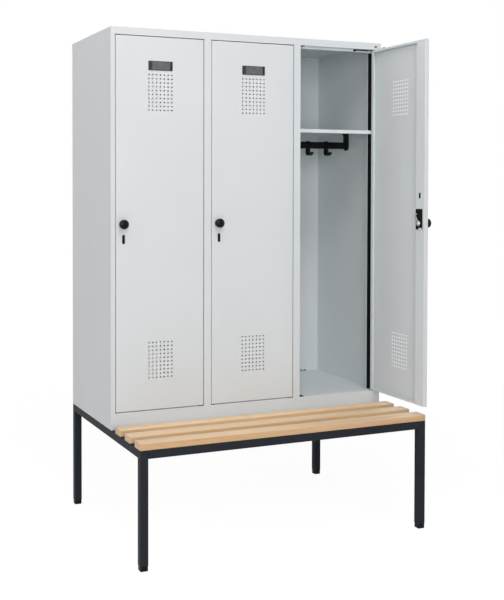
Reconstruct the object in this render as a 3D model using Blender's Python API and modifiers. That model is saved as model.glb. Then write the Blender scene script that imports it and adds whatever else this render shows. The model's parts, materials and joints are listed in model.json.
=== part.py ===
"""Steel locker for three people on an underframe whose front carries a slatted bench.

The pieces are placed in the locker's own frame: X runs along the width from the middle, Y runs
to the back from the front face of the carcass, and Z runs up from the floor. One empty carries
them all and puts the origin under the middle of the whole object, the open door included.
Lengths are in metres and angles in degrees, until they are used.
"""

import math

import bmesh
import bpy
from mathutils import Matrix, Vector

# Overall sizes
WIDTH = 1.200
CARCASS_DEPTH = 0.500
BENCH_DEPTH = 0.315
UNDERFRAME_HEIGHT = 0.425
CARCASS_HEIGHT = 1.525
COMPARTMENTS = 3

# Clearances
SEAM = 0.0003
OVERRUN = 0.002

# Underframe of square tube, with a plug in the foot of each leg
TUBE = 0.030
TUBE_WALL = 0.0020
TUBE_CORNER = 0.0025
MIDDLE_RAIL_SETBACK = 0.004
FOOT_HEIGHT = 0.018
FOOT_INSET = 0.0008
FOOT_ROUNDING = 0.0025
PLUG_HEIGHT = 0.022

# Bench slats
SLAT_COUNT = 3
SLAT_WIDTH = 0.060
SLAT_PITCH = 0.104
SLAT_THICKNESS = 0.025
SLAT_ROUNDING = 0.003

# Carcass of folded sheet
SHEET = 0.0010
STILE = 0.0168
MULLION = 0.0303
TOP_RAIL = 0.0276
BASE_RAIL = 0.0629
STOP_DEPTH = 0.0235
LOCK_STOP = 0.010
HINGE_STOP = 0.0322
TOP_STOP = 0.010
PANEL_FLANGE = 0.012
FLOOR_FLANGE = 0.025
SIDE_FOOT_FLANGE = 0.020

# Rubber strip on the stop beside the hinges
SEAL_WIDTH = 0.020
SEAL_THICKNESS = 0.0018
SEAL_SETBACK = 0.0010
SEAL_END_GAP = 0.003

# Shelf and coat rail
SHELF_SETBACK = 0.0195
SHELF_THICKNESS = 0.0142
SHELF_BELOW_TOP = 0.3652
RAIL_HEIGHT = 0.030
RAIL_THICKNESS = 0.015
RAIL_WALL = 0.0020
RAIL_BELOW_SHELF = 0.040
RAIL_SETBACK = 0.255
BRACKET_WIDTH = 0.032
BRACKET_THICKNESS = 0.009
BRACKET_BELOW_RAIL = 0.0065
GUSSET_REACH = 0.011
GUSSET_WIDTH = 0.024

# Coat hooks that slide along the rail
HOOKS_PER_RAIL = 3
HOOK_SPACING = 0.092
HOOK_CLEARANCE = 0.0004
COLLAR_WIDTH = 0.012
COLLAR_WALL = 0.003
HOOK_WIDTH = 0.022
HOOK_THICKNESS = 0.005
HOOK_DROP = 0.046
HOOK_BEND = 0.012
HOOK_HEEL_ANGLE = 300.0
HOOK_PRONG = 0.011
HOOK_TOE_BEND = 0.010
HOOK_TIP_ANGLE = 335.0

# Doors
DOOR_GAP = 0.003
DOOR_THICKNESS = 0.0175
DOOR_LIP = 0.009
DOOR_HINGE_LIP = 0.016
HINGE_INSET = 0.006
HINGE_DEPTH = 0.004
PIN_RADIUS = 0.0025
PIN_CLEARANCE = 0.0003
PIN_LENGTH = 0.016
PIN_ENGAGEMENT = 0.009
OPEN_ANGLE = 90.0
OPEN_DOOR = 3

# Vent fields punched in each door
VENT_COLUMNS = 7
VENT_ROWS = 10
VENT_COLUMN_PITCH = 0.0158
VENT_ROW_PITCH = 0.0150
VENT_RADIUS = 0.0026
VENT_SIDES = 6
UPPER_VENT_DROP = 0.2116
LOWER_VENT_RISE = 0.1911

# Label holder on each door
LABEL_WIDTH = 0.100
LABEL_HEIGHT = 0.0355
LABEL_THICKNESS = 0.0020
LABEL_DROP = 0.1096
LABEL_END = 0.016
LABEL_RIM = 0.0025
LABEL_RECESS = 0.0008

# Channel that stiffens the lock side of each door
CHANNEL_WIDTH = 0.054
CHANNEL_SLOT_WIDTH = 0.012
CHANNEL_SLOT_HEIGHT = 0.021
CHANNEL_SLOT_RISE = 0.108
CASE_WINDOW_INSET = 0.012
CASE_WINDOW_WIDTH = 0.041
CASE_WINDOW_RISE = 0.056
CASE_WINDOW_DROP = 0.025

# Turn knob, lock case and latch
LOCK_INSET = 0.0275
KEY_SLOT_INSET = 0.031
KEY_SLOT_WIDTH = 0.012
KEY_SLOT_HEIGHT = 0.036
KEY_SLOT_DROP = 0.0576
KNOB_RADIUS = 0.0178
KNOB_REACH = 0.029
KNOB_HEAD = 0.019
KNOB_EDGE = 0.0125
KNOB_STEM_RADIUS = 0.0105
KNOB_BASE_RADIUS = 0.0150
KNOB_BASE = 0.0040
SPINDLE_RADIUS = 0.004
SPINDLE_CLEARANCE = 0.0004
CASE_PROUD = 0.0020
CASE_BACKING_DROP = 0.085
CASE_BACKING_THICKNESS = 0.004
LATCH_BEHIND_STOP = 0.0008
LATCH_THICKNESS = 0.0025
LATCH_REACH = 0.037
LATCH_WIDTH = 0.010
LATCH_HUB_RADIUS = 0.011
LATCH_TURN = 125.0
NUT_RADIUS = 0.0070
NUT_THICKNESS = 0.0025

# Sizes worked out from those above
HALF_WIDTH = WIDTH / 2
CARCASS_BOTTOM = UNDERFRAME_HEIGHT + SEAM
CARCASS_TOP = UNDERFRAME_HEIGHT + CARCASS_HEIGHT
OPENING_WIDTH = (WIDTH - 2 * STILE - (COMPARTMENTS - 1) * MULLION) / COMPARTMENTS
OPENING_PITCH = OPENING_WIDTH + MULLION
OPENING_BOTTOM = UNDERFRAME_HEIGHT + BASE_RAIL
OPENING_TOP = CARCASS_TOP - TOP_RAIL
STOP_BACK = STOP_DEPTH + SHEET
DOOR_WIDTH = OPENING_WIDTH - 2 * DOOR_GAP
DOOR_HEIGHT = OPENING_TOP - OPENING_BOTTOM - 2 * DOOR_GAP
DOOR_LEFT = HINGE_INSET - DOOR_WIDTH
DOOR_FACE = -HINGE_DEPTH
DOOR_BACK = DOOR_FACE + DOOR_THICKNESS
SKIN_BACK = DOOR_FACE + SHEET
LOCK_X = DOOR_LEFT + LOCK_INSET
KEY_SLOT_X = DOOR_LEFT + KEY_SLOT_INSET
LOCK_Z = DOOR_HEIGHT / 2
LATCH_FRONT = STOP_BACK + LATCH_BEHIND_STOP - HINGE_DEPTH
LATCH_BACK = LATCH_FRONT + LATCH_THICKNESS
INNER_WALL = HALF_WIDTH - SHEET
PANEL_EDGE = INNER_WALL - SEAM
PANEL_FRONT = SHEET + SEAM
PANEL_BACK = CARCASS_DEPTH - SHEET - SEAM
SHELF_TOP = CARCASS_TOP - SHELF_BELOW_TOP
SHELF_BOTTOM = SHELF_TOP - SHELF_THICKNESS
RAIL_AXIS = SHELF_BOTTOM - RAIL_BELOW_SHELF

# How many straight edges stand in for a round one
ARC_STEPS = 4
CIRCLE_SIDES = 16
DOME_STEPS = 4

# Names of the collections
PARTS = "locker_with_bench"
CUTTERS = "cutters"

# Colour, roughness and metallic value of each finish
FINISHES = {
    "light_grey_paint": ((0.60, 0.62, 0.63, 1.0), 0.42, 0.0),
    "anthracite_paint": ((0.026, 0.030, 0.034, 1.0), 0.45, 0.0),
    "beech": ((0.70, 0.48, 0.27, 1.0), 0.50, 0.0),
    "black_plastic": ((0.012, 0.012, 0.013, 1.0), 0.40, 0.0),
    "black_rubber": ((0.008, 0.008, 0.008, 1.0), 0.80, 0.0),
    "label_plastic": ((0.030, 0.031, 0.033, 1.0), 0.50, 0.0),
    "zinc_plate": ((0.60, 0.60, 0.58, 1.0), 0.35, 1.0),
}


def clear_scene():
    for item in list(bpy.data.objects):
        bpy.data.objects.remove(item, do_unlink=True)


def make_collection(name):
    group = bpy.data.collections.new(name)
    bpy.context.scene.collection.children.link(group)
    return group


def make_finish(name):
    colour, roughness, metallic = FINISHES[name]
    material = bpy.data.materials.new(name)
    material.use_nodes = True
    shader = material.node_tree.nodes["Principled BSDF"]
    shader.inputs["Base Color"].default_value = colour
    shader.inputs["Roughness"].default_value = roughness
    shader.inputs["Metallic"].default_value = metallic
    material.diffuse_color = colour
    return material


def put(name, mesh, finish, parent, location=(0, 0, 0), rotation=(0, 0, 0)):
    """An object in its parent's frame. Without a finish it is a cutter."""
    item = bpy.data.objects.new(name, mesh)
    item.parent = parent
    item.location = location
    item.rotation_euler = rotation
    if finish is None:
        bpy.data.collections[CUTTERS].objects.link(item)
        item.hide_render = True
        item.display_type = "WIRE"
    else:
        bpy.data.collections[PARTS].objects.link(item)
        if not mesh.materials:
            mesh.materials.append(bpy.data.materials[finish])
    return item


def mesh_of(name, shell):
    bmesh.ops.recalc_face_normals(shell, faces=shell.faces)
    mesh = bpy.data.meshes.new(name)
    shell.to_mesh(mesh)
    shell.free()
    return mesh


def add_block(shell, low, high):
    """A box between two corners."""
    low, high = Vector(low), Vector(high)
    size = Matrix.Diagonal((*(high - low), 1))
    bmesh.ops.create_cube(shell, size=1, matrix=Matrix.Translation((low + high) / 2) @ size)


def add_pin(shell, centre, radius, length, axis="Z", sides=CIRCLE_SIDES):
    """A round pin about its centre, along Z or along Y."""
    turn = Matrix.Rotation(math.radians(90), 4, "X") if axis == "Y" else Matrix.Identity(4)
    bmesh.ops.create_cone(
        shell,
        cap_ends=True,
        segments=sides,
        radius1=radius,
        radius2=radius,
        depth=length,
        matrix=Matrix.Translation(centre) @ turn,
    )


def box(name, low, high, finish, parent, rounding=0.0, along=None):
    """A box with its origin at its centre, its long edges rounded where asked."""
    low, high = Vector(low), Vector(high)
    centre = (low + high) / 2
    shell = bmesh.new()
    add_block(shell, low - centre, high - centre)
    if rounding:
        edges = [edge for edge in shell.edges if lies_along(edge, along)]
        bmesh.ops.bevel(shell, geom=edges, offset=rounding, segments=2, affect="EDGES", profile=0.5)
    return put(name, mesh_of(name, shell), finish, parent, centre)


def lies_along(edge, axis):
    run = (edge.verts[1].co - edge.verts[0].co).normalized()
    return abs(run["XYZ".index(axis)]) > 0.99


def tray(name, low, high, finish, parent):
    """A sheet folded down on its four sides, as an open shell with a thickness."""
    low, high = Vector(low), Vector(high)
    centre = (low + high) / 2
    shell = bmesh.new()
    add_block(shell, low - centre, high - centre)
    bmesh.ops.recalc_face_normals(shell, faces=shell.faces)
    under = [face for face in shell.faces if face.normal.z < -0.5]
    bmesh.ops.delete(shell, geom=under, context="FACES_ONLY")
    item = put(name, mesh_of(name, shell), finish, parent, centre)
    thickness = item.modifiers.new("sheet", "SOLIDIFY")
    thickness.thickness = SHEET
    thickness.offset = -1
    thickness.use_even_offset = True
    return item


def combine(target, tool, operation):
    modifier = target.modifiers.new(tool.name, "BOOLEAN")
    modifier.operation = operation
    modifier.object = tool


def cut_blocks(target, label, corner_pairs, operation="DIFFERENCE"):
    """Cuts or adds boxes that don't touch each other, given in the parent's frame."""
    shell = bmesh.new()
    for low, high in corner_pairs:
        add_block(shell, low, high)
    name = f"{target.name}_{label}"
    combine(target, put(name, mesh_of(name, shell), None, target.parent), operation)


def cut_pins(target, label, centres, radius, length, axis, sides=CIRCLE_SIDES, operation="DIFFERENCE"):
    """Cuts or adds round pins that don't touch each other, given in the parent's frame."""
    shell = bmesh.new()
    for centre in centres:
        add_pin(shell, centre, radius, length, axis, sides)
    name = f"{target.name}_{label}"
    combine(target, put(name, mesh_of(name, shell), None, target.parent), operation)


def outline_mesh(name, outlines, thickness):
    """A flat plate from closed outlines, the later ones being holes, about its mid-plane."""
    curve = bpy.data.curves.new(name, "CURVE")
    curve.dimensions = "2D"
    curve.fill_mode = "BOTH"
    curve.extrude = thickness / 2
    for points in outlines:
        spline = curve.splines.new("POLY")
        spline.points.add(len(points) - 1)
        for point, (across, up) in zip(spline.points, points):
            point.co = (across, up, 0, 1)
        spline.use_cyclic_u = True
    drawn = bpy.data.objects.new(name, curve)
    bpy.context.scene.collection.objects.link(drawn)
    bpy.context.view_layer.update()
    flat = bpy.data.meshes.new_from_object(drawn.evaluated_get(bpy.context.evaluated_depsgraph_get()))
    bpy.data.objects.remove(drawn, do_unlink=True)
    shell = bmesh.new()
    shell.from_mesh(flat)
    bmesh.ops.remove_doubles(shell, verts=shell.verts, dist=SEAM / 100)
    return mesh_of(name, shell)


def arc(centre, radius, start, end, steps=ARC_STEPS):
    """Points from one angle to another, in degrees, both ends included."""
    angles = [math.radians(start + (end - start) * step / steps) for step in range(steps + 1)]
    return [(centre[0] + radius * math.cos(a), centre[1] + radius * math.sin(a)) for a in angles]


def obround(width, height, middle=(0, 0)):
    """An upright slot shape with round ends."""
    radius, rise = width / 2, (height - width) / 2
    top = arc((middle[0], middle[1] + rise), radius, 0, 180, 2 * ARC_STEPS)
    bottom = arc((middle[0], middle[1] - rise), radius, 180, 360, 2 * ARC_STEPS)
    return top + bottom


# Rotations that stand an outline up: facing along Y, or facing along X with its first axis along -Y
FACING_Y = (math.radians(90), 0, 0)
FACING_X = (math.radians(90), 0, math.radians(-90))


def cut_outline(target, label, outlines, thickness, location, operation="DIFFERENCE", rotation=FACING_Y):
    name = f"{target.name}_{label}"
    mesh = outline_mesh(name, outlines, thickness)
    combine(target, put(name, mesh, None, target.parent, location, rotation), operation)


def opening_left(number):
    """The left edge of a compartment's door opening, counted from 1 at the left."""
    return -HALF_WIDTH + STILE + (number - 1) * OPENING_PITCH


def partition_plane(number):
    """The middle plane of the partition to the right of a compartment."""
    return opening_left(number) + OPENING_WIDTH + MULLION / 2


def compartment_walls(number):
    """The inner faces of a compartment's two side walls."""
    left = -INNER_WALL if number == 1 else partition_plane(number - 1) + SHEET / 2
    right = INNER_WALL if number == COMPARTMENTS else partition_plane(number) - SHEET / 2
    return left, right


def square_tube(name, low, high, along, parent):
    """A square tube, open at both ends."""
    item = box(name, low, high, "anthracite_paint", parent, TUBE_CORNER, along)
    inner_low, inner_high = [], []
    for axis, first, last in zip("XYZ", low, high):
        inset = -OVERRUN if axis == along else TUBE_WALL
        inner_low.append(first + inset)
        inner_high.append(last - inset)
    cut_blocks(item, "bore", [(inner_low, inner_high)])
    return item


def build_underframe(parent):
    """Four legs joined by rails, and a middle rail under the front of the carcass."""
    inner = HALF_WIDTH - TUBE - SEAM
    top, under = UNDERFRAME_HEIGHT, UNDERFRAME_HEIGHT - TUBE
    front, back = -BENCH_DEPTH, CARCASS_DEPTH
    for end, near, far in (("front", front, front + TUBE), ("rear", back - TUBE, back)):
        for side, left, right in (
            ("left", -HALF_WIDTH, -HALF_WIDTH + TUBE),
            ("right", HALF_WIDTH - TUBE, HALF_WIDTH),
        ):
            low, high = (left, near, FOOT_HEIGHT + SEAM), (right, far, top)
            square_tube(f"{end}_{side}_leg", low, high, "Z", parent)
            build_foot(f"{end}_{side}_foot", left, near, parent)
        square_tube(f"{end}_rail", (-inner, near, under), (inner, far, top), "X", parent)
    near, far = front + TUBE + SEAM, back - TUBE - SEAM
    square_tube("left_rail", (-HALF_WIDTH, near, under), (-HALF_WIDTH + TUBE, far, top), "Y", parent)
    square_tube("right_rail", (HALF_WIDTH - TUBE, near, under), (HALF_WIDTH, far, top), "Y", parent)
    near = MIDDLE_RAIL_SETBACK
    square_tube("middle_rail", (-inner, near, under), (inner, near + TUBE, top), "X", parent)


def build_foot(name, left, near, parent):
    """A plastic foot under a leg, with a plug that fits the tube."""
    low = (left + FOOT_INSET, near + FOOT_INSET, 0)
    high = (left + TUBE - FOOT_INSET, near + TUBE - FOOT_INSET, FOOT_HEIGHT)
    item = box(name, low, high, "black_plastic", parent, FOOT_ROUNDING, "Z")
    inset = TUBE_WALL + TUBE_CORNER
    low = (left + inset, near + inset, FOOT_HEIGHT / 2)
    high = (left + TUBE - inset, near + TUBE - inset, FOOT_HEIGHT + PLUG_HEIGHT)
    cut_blocks(item, "plug", [(low, high)], "UNION")


def build_bench(parent):
    """Slats across the underframe in front of the carcass."""
    bottom = UNDERFRAME_HEIGHT + SEAM
    for number in range(1, SLAT_COUNT + 1):
        front = -BENCH_DEPTH + (number - 1) * SLAT_PITCH
        low = (-HALF_WIDTH, front, bottom)
        high = (HALF_WIDTH, front + SLAT_WIDTH, bottom + SLAT_THICKNESS)
        box(f"bench_slat_{number}", low, high, "beech", parent, SLAT_ROUNDING, "X")


def build_shell(parent):
    """The sheet panels of the carcass, and the partitions between compartments."""
    paint = "light_grey_paint"
    for side, outer, inner in (("left", -HALF_WIDTH, -INNER_WALL), ("right", INNER_WALL, HALF_WIDTH)):
        low, high = (outer, PANEL_FRONT, CARCASS_BOTTOM), (inner, CARCASS_DEPTH, CARCASS_TOP)
        panel = box(f"{side}_side_panel", low, high, paint, parent)
        edge = HALF_WIDTH - SIDE_FOOT_FLANGE
        start = -HALF_WIDTH + SHEET / 2 if side == "left" else edge
        end = -edge if side == "left" else HALF_WIDTH - SHEET / 2
        low = (start, PANEL_FRONT, CARCASS_BOTTOM)
        high = (end, PANEL_BACK, CARCASS_BOTTOM + SHEET)
        cut_blocks(panel, "foot_flange", [(low, high)], "UNION")
    low = (-PANEL_EDGE, CARCASS_DEPTH - SHEET, CARCASS_BOTTOM)
    box("back_panel", low, (PANEL_EDGE, CARCASS_DEPTH, CARCASS_TOP), paint, parent)
    low = (-PANEL_EDGE, PANEL_FRONT, CARCASS_TOP - PANEL_FLANGE)
    tray("top_panel", low, (PANEL_EDGE, PANEL_BACK, CARCASS_TOP), paint, parent)
    low = (-PANEL_EDGE, STOP_BACK + SEAM, OPENING_BOTTOM - FLOOR_FLANGE)
    tray("floor_panel", low, (PANEL_EDGE, PANEL_BACK, OPENING_BOTTOM), paint, parent)
    for number in range(1, COMPARTMENTS):
        middle = partition_plane(number)
        near, far = PANEL_FRONT + SHEET + SEAM, PANEL_BACK - SHEET - SEAM
        low = (middle - SHEET / 2, near, OPENING_BOTTOM + SEAM)
        high = (middle + SHEET / 2, far, CARCASS_TOP - SHEET - SEAM)
        box(f"partition_{number}", low, high, paint, parent)


def build_front_frame(parent):
    """The welded front: one face, and round each opening a return with stops behind the door."""
    low, high = (-HALF_WIDTH, 0, CARCASS_BOTTOM), (HALF_WIDTH, SHEET, CARCASS_TOP)
    frame = box("front_frame", low, high, "light_grey_paint", parent)
    returns, doorways, clear, pin_holes = [], [], [], []
    for number in range(1, COMPARTMENTS + 1):
        left = opening_left(number)
        right = left + OPENING_WIDTH
        returns.append(
            (
                (left - SHEET, SHEET / 2, OPENING_BOTTOM - SHEET),
                (right + SHEET, STOP_BACK, OPENING_TOP + SHEET),
            )
        )
        doorways.append(((left, -OVERRUN, OPENING_BOTTOM), (right, STOP_DEPTH, OPENING_TOP)))
        clear.append(
            (
                (left + LOCK_STOP, SHEET, OPENING_BOTTOM),
                (right - HINGE_STOP, STOP_BACK + OVERRUN, OPENING_TOP - TOP_STOP),
            )
        )
        for height in (OPENING_BOTTOM, OPENING_TOP):
            pin_holes.append((right - DOOR_GAP - HINGE_INSET, HINGE_DEPTH, height))
    cut_blocks(frame, "returns", returns, "UNION")
    cut_blocks(frame, "doorways", doorways)
    cut_blocks(frame, "clear_openings", clear)
    cut_pins(frame, "pin_holes", pin_holes, PIN_RADIUS + PIN_CLEARANCE, 2 * (SHEET + OVERRUN), "Z")


def build_seal(number, parent):
    """The rubber strip on the stop beside the hinges of one door."""
    edge = opening_left(number) + OPENING_WIDTH - HINGE_STOP + SEAL_SETBACK
    back = STOP_DEPTH - SEAM
    low = (edge, back - SEAL_THICKNESS, OPENING_BOTTOM + SEAL_END_GAP)
    high = (edge + SEAL_WIDTH, back, OPENING_TOP - TOP_STOP - SEAL_END_GAP)
    box(f"door_{number}_seal", low, high, "black_rubber", parent)


def build_shelf(number, parent):
    """A folded shelf whose front edge reaches past the stops, across to the hinge side."""
    left, right = compartment_walls(number)
    low = (left + SEAM, SHELF_SETBACK, SHELF_BOTTOM)
    high = (right - SEAM, PANEL_BACK, SHELF_TOP)
    shelf = tray(f"shelf_{number}", low, high, "light_grey_paint", parent)
    under, over = SHELF_BOTTOM - OVERRUN, SHELF_TOP + OVERRUN
    front, edge_back = SHELF_SETBACK - OVERRUN, SHELF_SETBACK + SHEET + SEAM
    stops_back = STOP_BACK + SEAM
    clear_left = opening_left(number) + LOCK_STOP + SEAM
    opening_right = opening_left(number) + OPENING_WIDTH
    clear_right = opening_right - HINGE_STOP - SEAM
    left_notch = ((left - OVERRUN, front, under), (clear_left, stops_back, over))
    right_notch = ((clear_right, edge_back, under), (right + OVERRUN, stops_back, over))
    end_notch = ((opening_right - SEAM, front, under), (right + OVERRUN, stops_back, over))
    cut_blocks(shelf, "left_notch", [left_notch])
    cut_blocks(shelf, "right_notch", [right_notch])
    cut_blocks(shelf, "end_notch", [end_notch])


def build_coat_rail(number, hook_mesh, parent):
    """A moulded oval rail on a bracket at each end, which reaches up into the shelf, and its hooks."""
    left, right = compartment_walls(number)
    start, end = left + SEAM, right - SEAM
    bore = obround(RAIL_THICKNESS - 2 * RAIL_WALL, RAIL_HEIGHT - 2 * RAIL_WALL)
    bar = obround(RAIL_THICKNESS, RAIL_HEIGHT)
    mesh = outline_mesh(f"coat_rail_{number}", [bar], end - start - BRACKET_THICKNESS)
    middle = (start + end) / 2
    axis_point = (middle, RAIL_SETBACK, RAIL_AXIS)
    rail = put(f"coat_rail_{number}", mesh, "black_plastic", parent, axis_point, FACING_X)
    round_radius = BRACKET_WIDTH / 2
    round_middle = -RAIL_HEIGHT / 2 - BRACKET_BELOW_RAIL + round_radius
    top = RAIL_BELOW_SHELF + SHELF_THICKNESS - SHEET - SEAM
    bracket = arc((0, round_middle), round_radius, 180, 360, 2 * ARC_STEPS)
    bracket += [(round_radius, top), (-round_radius, top)]
    inset = BRACKET_THICKNESS / 2
    for end_name, place in (("left", start + inset), ("right", end - inset)):
        where = (place, RAIL_SETBACK, RAIL_AXIS)
        cut_outline(rail, f"{end_name}_bracket", [bracket], BRACKET_THICKNESS, where, "UNION", FACING_X)
    for end_name, edge, way in (("left", start, 1), ("right", end, -1)):
        foot, face = way * inset, way * BRACKET_THICKNESS
        gusset = [(foot, 0), (foot, -GUSSET_REACH), (face, -GUSSET_REACH), (face + way * GUSSET_REACH, 0)]
        where = (edge, RAIL_SETBACK, RAIL_AXIS + top)
        cut_outline(rail, f"{end_name}_gusset", [gusset], GUSSET_WIDTH, where, "UNION")
    under, over = SHELF_BOTTOM - SEAM, SHELF_TOP + OVERRUN
    near, far = RAIL_SETBACK - BRACKET_WIDTH, RAIL_SETBACK + BRACKET_WIDTH
    clear_left, clear_right = start + SHEET + SEAM, end - SHEET - SEAM
    left_notch = ((start - OVERRUN, near, under), (clear_left, far, over))
    right_notch = ((clear_right, near, under), (end + OVERRUN, far, over))
    cut_blocks(rail, "shelf_notches", [left_notch, right_notch])
    cut_outline(rail, "bore", [bore], end - start + OVERRUN, axis_point, rotation=FACING_X)
    first = -(HOOKS_PER_RAIL - 1) / 2 * HOOK_SPACING
    for place in range(HOOKS_PER_RAIL):
        name = f"coat_hook_{number}{'abc'[place]}"
        where = (middle + first + place * HOOK_SPACING, RAIL_SETBACK, RAIL_AXIS)
        put(name, hook_mesh, "black_plastic", parent, where)


def make_hook_mesh():
    """A collar round the rail with a broad hook that curls forward, its origin on the rail's axis."""
    grip = 2 * HOOK_CLEARANCE
    hole = obround(RAIL_THICKNESS + grip, RAIL_HEIGHT + grip)
    rim = grip + 2 * COLLAR_WALL
    collar = obround(RAIL_THICKNESS + rim, RAIL_HEIGHT + rim)
    half = HOOK_THICKNESS / 2
    heel = (HOOK_BEND, -HOOK_DROP + half + HOOK_BEND)
    slope = math.radians(HOOK_HEEL_ANGLE)
    across, up = math.cos(slope), math.sin(slope)
    inward = HOOK_BEND - HOOK_TOE_BEND
    toe = (heel[0] + inward * across - HOOK_PRONG * up, heel[1] + inward * up + HOOK_PRONG * across)
    root = -RAIL_HEIGHT / 2 - HOOK_CLEARANCE - COLLAR_WALL / 2
    strap = [(-half, root)]
    strap += arc(heel, HOOK_BEND + half, 180, HOOK_HEEL_ANGLE)
    strap += arc(toe, HOOK_TOE_BEND + half, HOOK_HEEL_ANGLE, HOOK_TIP_ANGLE)
    strap += arc(toe, HOOK_TOE_BEND - half, HOOK_TIP_ANGLE, HOOK_HEEL_ANGLE)
    strap += arc(heel, HOOK_BEND - half, HOOK_HEEL_ANGLE, 180)
    strap.append((half, root))
    parent = None
    body = put("hook_form", outline_mesh("coat_hook", [collar, hole], COLLAR_WIDTH), None, parent)
    body.rotation_euler = FACING_X
    cut_outline(body, "strap", [strap], HOOK_WIDTH, (0, 0, 0), "UNION", FACING_X)
    bpy.context.view_layer.update()
    whole = body.evaluated_get(bpy.context.evaluated_depsgraph_get())
    mesh = bpy.data.meshes.new_from_object(whole)
    mesh.transform(body.matrix_world)
    for tool in [body] + [modifier.object for modifier in body.modifiers]:
        bpy.data.objects.remove(tool, do_unlink=True)
    mesh.name = "coat_hook"
    return mesh


def vent_centres():
    """The punched holes of one door, in its frame: two fields of rows and columns."""
    middle = DOOR_LEFT + DOOR_WIDTH / 2
    centres = []
    for field in (LOWER_VENT_RISE, DOOR_HEIGHT - UPPER_VENT_DROP):
        for row in range(VENT_ROWS):
            for column in range(VENT_COLUMNS):
                across = (column - (VENT_COLUMNS - 1) / 2) * VENT_COLUMN_PITCH
                up = (row - (VENT_ROWS - 1) / 2) * VENT_ROW_PITCH
                centres.append((middle + across, DOOR_FACE + SHEET / 2, field + up))
    return centres


def build_door_panel(number, hinge):
    """A folded door, open at the back inside its lips, with its two hinge pins."""
    low, high = (DOOR_LEFT, DOOR_FACE, 0), (HINGE_INSET, DOOR_BACK, DOOR_HEIGHT)
    panel = box(f"door_{number}_panel", low, high, "light_grey_paint", hinge)
    inside = (
        (DOOR_LEFT + SHEET, SKIN_BACK, SHEET),
        (HINGE_INSET - SHEET, DOOR_BACK - SHEET, DOOR_HEIGHT - SHEET),
    )
    mouth = (
        (DOOR_LEFT + SHEET, DOOR_BACK - 2 * SHEET, DOOR_LIP),
        (HINGE_INSET - DOOR_HINGE_LIP, DOOR_BACK + OVERRUN, DOOR_HEIGHT - DOOR_LIP),
    )
    cut_blocks(panel, "hollow", [inside])
    cut_blocks(panel, "mouth", [mouth])
    reach = PIN_ENGAGEMENT - PIN_LENGTH / 2
    pins = [(0, 0, -reach), (0, 0, DOOR_HEIGHT + reach)]
    cut_pins(panel, "pins", pins, PIN_RADIUS, PIN_LENGTH, "Z", operation="UNION")
    cut_pins(panel, "vents", vent_centres(), VENT_RADIUS, SHEET + OVERRUN, "Y", VENT_SIDES)
    spindle = [(LOCK_X, DOOR_FACE, LOCK_Z)]
    cut_pins(panel, "spindle_hole", spindle, SPINDLE_RADIUS + SPINDLE_CLEARANCE, 2 * SHEET + OVERRUN, "Y")
    slot_place = (KEY_SLOT_X, DOOR_FACE, LOCK_Z - KEY_SLOT_DROP)
    slot = obround(KEY_SLOT_WIDTH, KEY_SLOT_HEIGHT)
    cut_outline(panel, "key_slot", [slot], 2 * SHEET + OVERRUN, slot_place)


def build_lock_channel(number, hinge):
    """The angle that closes the lock side of the door, with a window for the lock case."""
    left = DOOR_LEFT + SHEET + SEAM
    right = left + CHANNEL_WIDTH
    bottom, top = DOOR_LIP + SEAM, DOOR_HEIGHT - DOOR_LIP - SEAM
    low, high = (left, DOOR_BACK - SHEET, bottom), (right, DOOR_BACK, top)
    channel = box(f"door_{number}_lock_channel", low, high, "light_grey_paint", hinge)
    web = ((right - SHEET, SKIN_BACK + SEAM, bottom), (right, DOOR_BACK - SHEET / 2, top))
    cut_blocks(channel, "web", [web], "UNION")
    window_left = DOOR_LEFT + CASE_WINDOW_INSET
    window = (
        (window_left, DOOR_BACK - SHEET - OVERRUN, LOCK_Z - CASE_WINDOW_DROP),
        (window_left + CASE_WINDOW_WIDTH, DOOR_BACK + OVERRUN, LOCK_Z + CASE_WINDOW_RISE),
    )
    cut_blocks(channel, "window", [window])
    slot_place = (KEY_SLOT_X, DOOR_BACK - SHEET / 2, LOCK_Z + CHANNEL_SLOT_RISE)
    slot = obround(CHANNEL_SLOT_WIDTH, CHANNEL_SLOT_HEIGHT)
    cut_outline(channel, "slot", [slot], SHEET + OVERRUN, slot_place)


def build_label_holder(number, hinge):
    """A flat holder on the door's face, with a shallow tray for a card."""
    middle = DOOR_LEFT + DOOR_WIDTH / 2
    height = DOOR_HEIGHT - LABEL_DROP
    back = DOOR_FACE - SEAM
    low = (middle - LABEL_WIDTH / 2, back - LABEL_THICKNESS, height - LABEL_HEIGHT / 2)
    high = (middle + LABEL_WIDTH / 2, back, height + LABEL_HEIGHT / 2)
    holder = box(f"door_{number}_label_holder", low, high, "label_plastic", hinge)
    card_low = (low[0] + LABEL_END, low[1] - OVERRUN, low[2] + LABEL_RIM)
    card_high = (high[0] - LABEL_RIM, low[1] + LABEL_RECESS, high[2] - LABEL_RIM)
    cut_blocks(holder, "card_tray", [(card_low, card_high)])


def build_lock_case(number, hinge):
    """The lock's housing in the channel's window, with a thin backing behind the key slot."""
    window_left = DOOR_LEFT + CASE_WINDOW_INSET
    left, right = window_left + SEAM, window_left + CASE_WINDOW_WIDTH - SEAM
    bottom, top = LOCK_Z - CASE_WINDOW_DROP + SEAM, LOCK_Z + CASE_WINDOW_RISE - SEAM
    near = SKIN_BACK + SEAM
    low, high = (left, near, bottom), (right, DOOR_BACK + CASE_PROUD, top)
    case = box(f"door_{number}_lock_case", low, high, "black_plastic", hinge)
    backing = ((left, near, LOCK_Z - CASE_BACKING_DROP), (right, near + CASE_BACKING_THICKNESS, LOCK_Z))
    cut_blocks(case, "backing", [backing], "UNION")
    bore = [(LOCK_X, (near + DOOR_BACK) / 2, LOCK_Z)]
    length = DOOR_BACK - near + 2 * (CASE_PROUD + OVERRUN)
    cut_pins(case, "bore", bore, SPINDLE_RADIUS + SPINDLE_CLEARANCE, length, "Y")


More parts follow.
